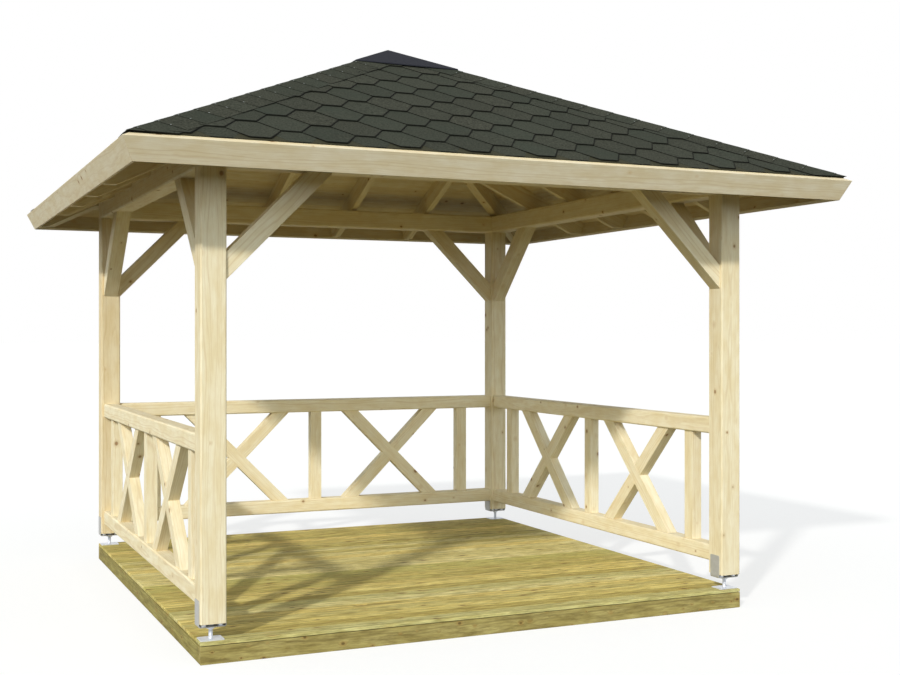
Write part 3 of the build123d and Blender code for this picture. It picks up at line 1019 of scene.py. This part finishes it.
# %% Rod, nuts, plate and screws
PLATE_SIZE = (110 * MM, 86 * MM)
PLATE_CORNER = 7 * MM
SCREW_INSET = 15 * MM
CRADLE_DROP = 18 * MM        # from the underside of a post to the underside of the strip
ROD_RADIUS = 10 * MM
THREAD_PITCH = 2.5 * MM
THREAD_DEPTH = 1.2 * MM
CREST = 1.1 * MM             # from a root of the thread up to the next crest
ROD_SHORT = 2 * MM           # the rod ends this far below the post
NUT_HEIGHT = 12 * MM
# Turned shapes as (radius, height) from the bottom up, with their edges chamfered
NUT = [(15.5 * MM, 0), (19.3 * MM, 1.5 * MM), (19.3 * MM, 10.5 * MM), (15.5 * MM, NUT_HEIGHT)]
WASHER = [(10.5 * MM, 0), (12 * MM, 1 * MM), (12 * MM, 12 * MM), (10.5 * MM, 13 * MM)]
WASHER_PLACE = (38 * MM, 25 * MM)
SCREW = [(5.5 * MM, 0), (5.5 * MM, 0.8 * MM), (3.5 * MM, 2.2 * MM)]
STEEL_EDGE = 0.7 * MM
UPRIGHT = ((1, 0, 0), (0, 1, 0), (0, 0, 1))
FOUR_SIGNS = [(sx, sy) for sx in (-1, 1) for sy in (-1, 1)]
deck_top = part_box("deck_boards")[1][2]


def foot(post_low, post_high):
    """The steel of one post foot: vertices, faces, and 1 for each face of the strip or 0 for others."""
    x, y = (post_low[0] + post_high[0]) / 2, (post_low[1] + post_high[1]) / 2
    post_half = (post_high[0] - post_low[0]) / 2
    under = post_low[2] - CRADLE_DROP
    parts = cradle(post_half, under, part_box("post_feet")[1][2])
    strip_faces = sum(len(polygons) for _, polygons in parts)
    rod_height = post_low[2] - ROD_SHORT - deck_top
    threads = []
    for turn in range(int(rod_height / THREAD_PITCH)):
        base = turn * THREAD_PITCH
        threads += [(ROD_RADIUS - THREAD_DEPTH, base), (ROD_RADIUS, base + CREST)]
    parts.append(round_profile((0, 0, deck_top), UPRIGHT, threads, 20))
    for level in (under - NUT_HEIGHT, under + FOOT_SHEET):
        parts.append(round_profile((0, 0, level), UPRIGHT, NUT, 6))
    for sx, sy in FOUR_SIGNS:
        place = (sx * WASHER_PLACE[0], sy * WASHER_PLACE[1], under + FOOT_SHEET)
        parts.append(round_profile(place, UPRIGHT, WASHER, 16))
    half_x, half_y = PLATE_SIZE[0] / 2, PLATE_SIZE[1] / 2
    outline = []
    for sx, sy, start in ((1, 1, 0), (-1, 1, 90), (-1, -1, 180), (1, -1, 270)):
        middle = (sx * (half_x - PLATE_CORNER), sy * (half_y - PLATE_CORNER))
        outline += arc(middle, PLATE_CORNER, start, start + 90, 4)
    low, high = ([(px, py, z) for px, py in outline] for z in (deck_top, deck_top + FOOT_SHEET))
    parts.append(prism(low, high))
    for sx, sy in FOUR_SIGNS:
        place = (sx * (half_x - SCREW_INSET), sy * (half_y - SCREW_INSET), deck_top + FOOT_SHEET)
        parts.append(round_profile(place, UPRIGHT, SCREW, 12))
    vertices, faces = join_shapes(parts)
    kinds = [1] * strip_faces + [0] * (len(faces) - strip_faces)
    return [(vx + x, vy + y, vz) for vx, vy, vz in vertices], faces, kinds


corners = ("front_left", "front_right", "back_left", "back_right")
feet = [foot(*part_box("post_" + corner)) for corner in corners]
vertices, faces = join_shapes([(points, polygons) for points, polygons, _ in feet])
kinds = [kind for _, _, foot_kinds in feet for kind in foot_kinds]
piece = make_piece("steel_post_feet", vertices, faces, [galvanised, darkened_zinc_strip],
                   ["post_feet"], face_materials=kinds)
soften(piece, STEEL_EDGE)
print("foot parts, vertices:", len(vertices))

# %% [markdown]
# ## Floor, light and camera
#
# The floor is pale and plain. It glows a little, so that it stays white and still takes a light
# shadow. A white floor would also throw light up under the roof, where a lawn or a paved
# yard throws little, so the rays that scatter from a matt surface meet a darker ground. The
# camera's rays, and those that a gloss sends on, meet the white one.

# %% Floor
FLOOR_HALF = 200.0
FLOOR_GLOW = 1.02                # a little over white, since the shadow takes some away
GLOW_SHARE = 0.68                # the rest is matt white, which shows the shadow
DARK_GROUND = (0.10, 0.091, 0.055, 1.0)
WHITE = (1.0, 1.0, 1.0, 1.0)


def background_rays(tree):
    """1 for the rays that see the white background: the camera's, and those from gloss or glass."""
    ray = add(tree, "ShaderNodeLightPath")
    seen = [ray.outputs[name] for name in ("Is Camera Ray", "Is Glossy Ray", "Is Transmission Ray")]
    first_two = add(tree, "ShaderNodeMath", {0: seen[0], 1: seen[1]}, operation="MAXIMUM").outputs[0]
    return add(tree, "ShaderNodeMath", {0: first_two, 1: seen[2]}, operation="MAXIMUM").outputs[0]


material, tree, out = new_material("pale floor")
diffuse = add(tree, "ShaderNodeBsdfDiffuse", {"Color": WHITE})
glow = add(tree, "ShaderNodeEmission", {"Color": WHITE, "Strength": FLOOR_GLOW})
seen = add(tree, "ShaderNodeMixShader", {0: GLOW_SHARE, 1: diffuse.outputs[0], 2: glow.outputs[0]})
ground = add(tree, "ShaderNodeBsdfDiffuse", {"Color": DARK_GROUND})
mixed = add(tree, "ShaderNodeMixShader",
            {0: background_rays(tree), 1: ground.outputs[0], 2: seen.outputs[0]})
tree.links.new(mixed.outputs[0], out.inputs[0])
floor_mesh = bpy.data.meshes.new("floor")
floor_corners = [(x * FLOOR_HALF, y * FLOOR_HALF, 0) for x, y in ((-1, -1), (1, -1), (1, 1), (-1, 1))]
floor_mesh.from_pydata(floor_corners, [], [(0, 1, 2, 3)])
floor_mesh.materials.append(material)
floor = bpy.data.objects.new("floor", floor_mesh)
bpy.context.scene.collection.objects.link(floor)
print("floor", round(2 * FLOOR_HALF), "m wide")

# %% [markdown]
# One lamp stands in for a low sun from the front left, with the soft edge of thin cloud. A sun
# lamp has parallel rays, so that the shadows of the posts stay parallel as they do outdoors.

# %% Sun
SUN_TRAVEL = Vector((1.18, 1.13, -1.0))
SUN_ENERGY = 2.52
SUN_COLOUR = (1.0, 0.98, 0.92)
SUN_WIDTH = math.radians(3.0)    # the real sun is half a degree wide
sun_data = bpy.data.lights.new("sun", "SUN")
sun_data.energy = SUN_ENERGY
sun_data.color = SUN_COLOUR
sun_data.angle = SUN_WIDTH
sun = bpy.data.objects.new("sun", sun_data)
sun.rotation_euler = SUN_TRAVEL.to_track_quat("-Z", "Y").to_euler()
bpy.context.scene.collection.objects.link(sun)
print("sun from", tuple(round(-v, 2) for v in SUN_TRAVEL))

# %% [markdown]
# The sky is brighter low down and toward the entrance, which is what lights the shaded sides of
# the posts. Sun and sky add up so that a surface facing the sun renders about as its colour is
# written.

# %% Sky
LOW_SKY, HIGH_SKY = 1.32, 0.28   # strength at the horizon and overhead
SKY_COLOUR = (0.925, 1.0, 1.02, 1.0)
TOWARD_FRONT = (-0.41, -0.91, 0.0)
FRONT_SHARE = 0.45               # how much brighter the sky is on the entrance side
world = bpy.data.worlds.new("sky")
bpy.context.scene.world = world
world.use_nodes = True
tree = world.node_tree
tree.nodes.clear()
out = tree.nodes.new("ShaderNodeOutputWorld")
direction = add(tree, "ShaderNodeTexCoord").outputs["Generated"]
rise = add(tree, "ShaderNodeSeparateXYZ", {0: direction}).outputs[2]
by_height = add(tree, "ShaderNodeMapRange", {0: rise, 3: LOW_SKY, 4: HIGH_SKY}).outputs[0]
toward_front = add(tree, "ShaderNodeVectorMath", {0: direction, 1: TOWARD_FRONT},
                   operation="DOT_PRODUCT").outputs[1]
by_side = add(tree, "ShaderNodeMath", {0: toward_front, 1: FRONT_SHARE, 2: 1.0},
              operation="MULTIPLY_ADD").outputs[0]
strength = add(tree, "ShaderNodeMath", {0: by_height, 1: by_side}, operation="MULTIPLY").outputs[0]
sky = add(tree, "ShaderNodeBackground", {"Color": SKY_COLOUR, "Strength": strength})
white = add(tree, "ShaderNodeBackground", {"Color": WHITE, "Strength": 1.0})
mixed = add(tree, "ShaderNodeMixShader",
            {0: background_rays(tree), 1: sky.outputs[0], 2: white.outputs[0]})
tree.links.new(mixed.outputs[0], out.inputs[0])
print("sky strength", LOW_SKY, "low and", HIGH_SKY, "high")

# %% [markdown]
# The camera stands at eye height in front of the left post, level, so that the posts stay
# upright in the render. A small shift of the lens frames the object without tilting it.

# %% Camera
camera_data = bpy.data.cameras.new("camera")
camera_data.sensor_width = 36
camera_data.lens = 50.37
camera_data.shift_y = -0.0038
camera_data.clip_end = 500
camera = bpy.data.objects.new("camera", camera_data)
camera.location = (-2.742, -7.026, 1.474)
camera.rotation_euler = (math.radians(90), 0, math.radians(-24.14))
bpy.context.scene.collection.objects.link(camera)
bpy.context.scene.camera = camera
bpy.context.scene.view_settings.view_transform = "Standard"
print("camera", camera_data.lens, "mm at", tuple(round(v, 2) for v in camera.location))
